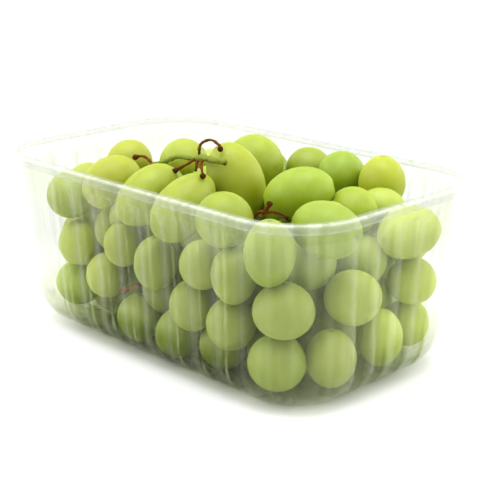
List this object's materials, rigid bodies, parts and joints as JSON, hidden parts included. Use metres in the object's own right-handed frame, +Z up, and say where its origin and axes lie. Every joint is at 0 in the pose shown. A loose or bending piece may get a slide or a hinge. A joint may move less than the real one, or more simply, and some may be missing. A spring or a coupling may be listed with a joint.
{
  "type": "punnet of grapes",
  "caption": "Clear ribbed plastic punnet with a rolled rim, heaped above its rim with green grapes and bits of stalk.",
  "frame": {"origin": "middle of the underside of the tray's base", "axes": "+X along the long side, +Y along the short side, +Z up out of the tray"},
  "size_m": [0.188, 0.1124, 0.0886],
  "materials": {
    "clear_plastic": "clear, thin and shiny",
    "grape_skin": "satin skin with a faint waxy bloom",
    "stalk": "dull, green-brown to dark brown"
  },
  "bodies": {
    "root": {"tray": "clear_plastic", "grapes": "grape_skin", "stalk_top": "stalk", "stalk_front": "stalk", "stalk_side": "stalk"}
  },
  "joints": []
}
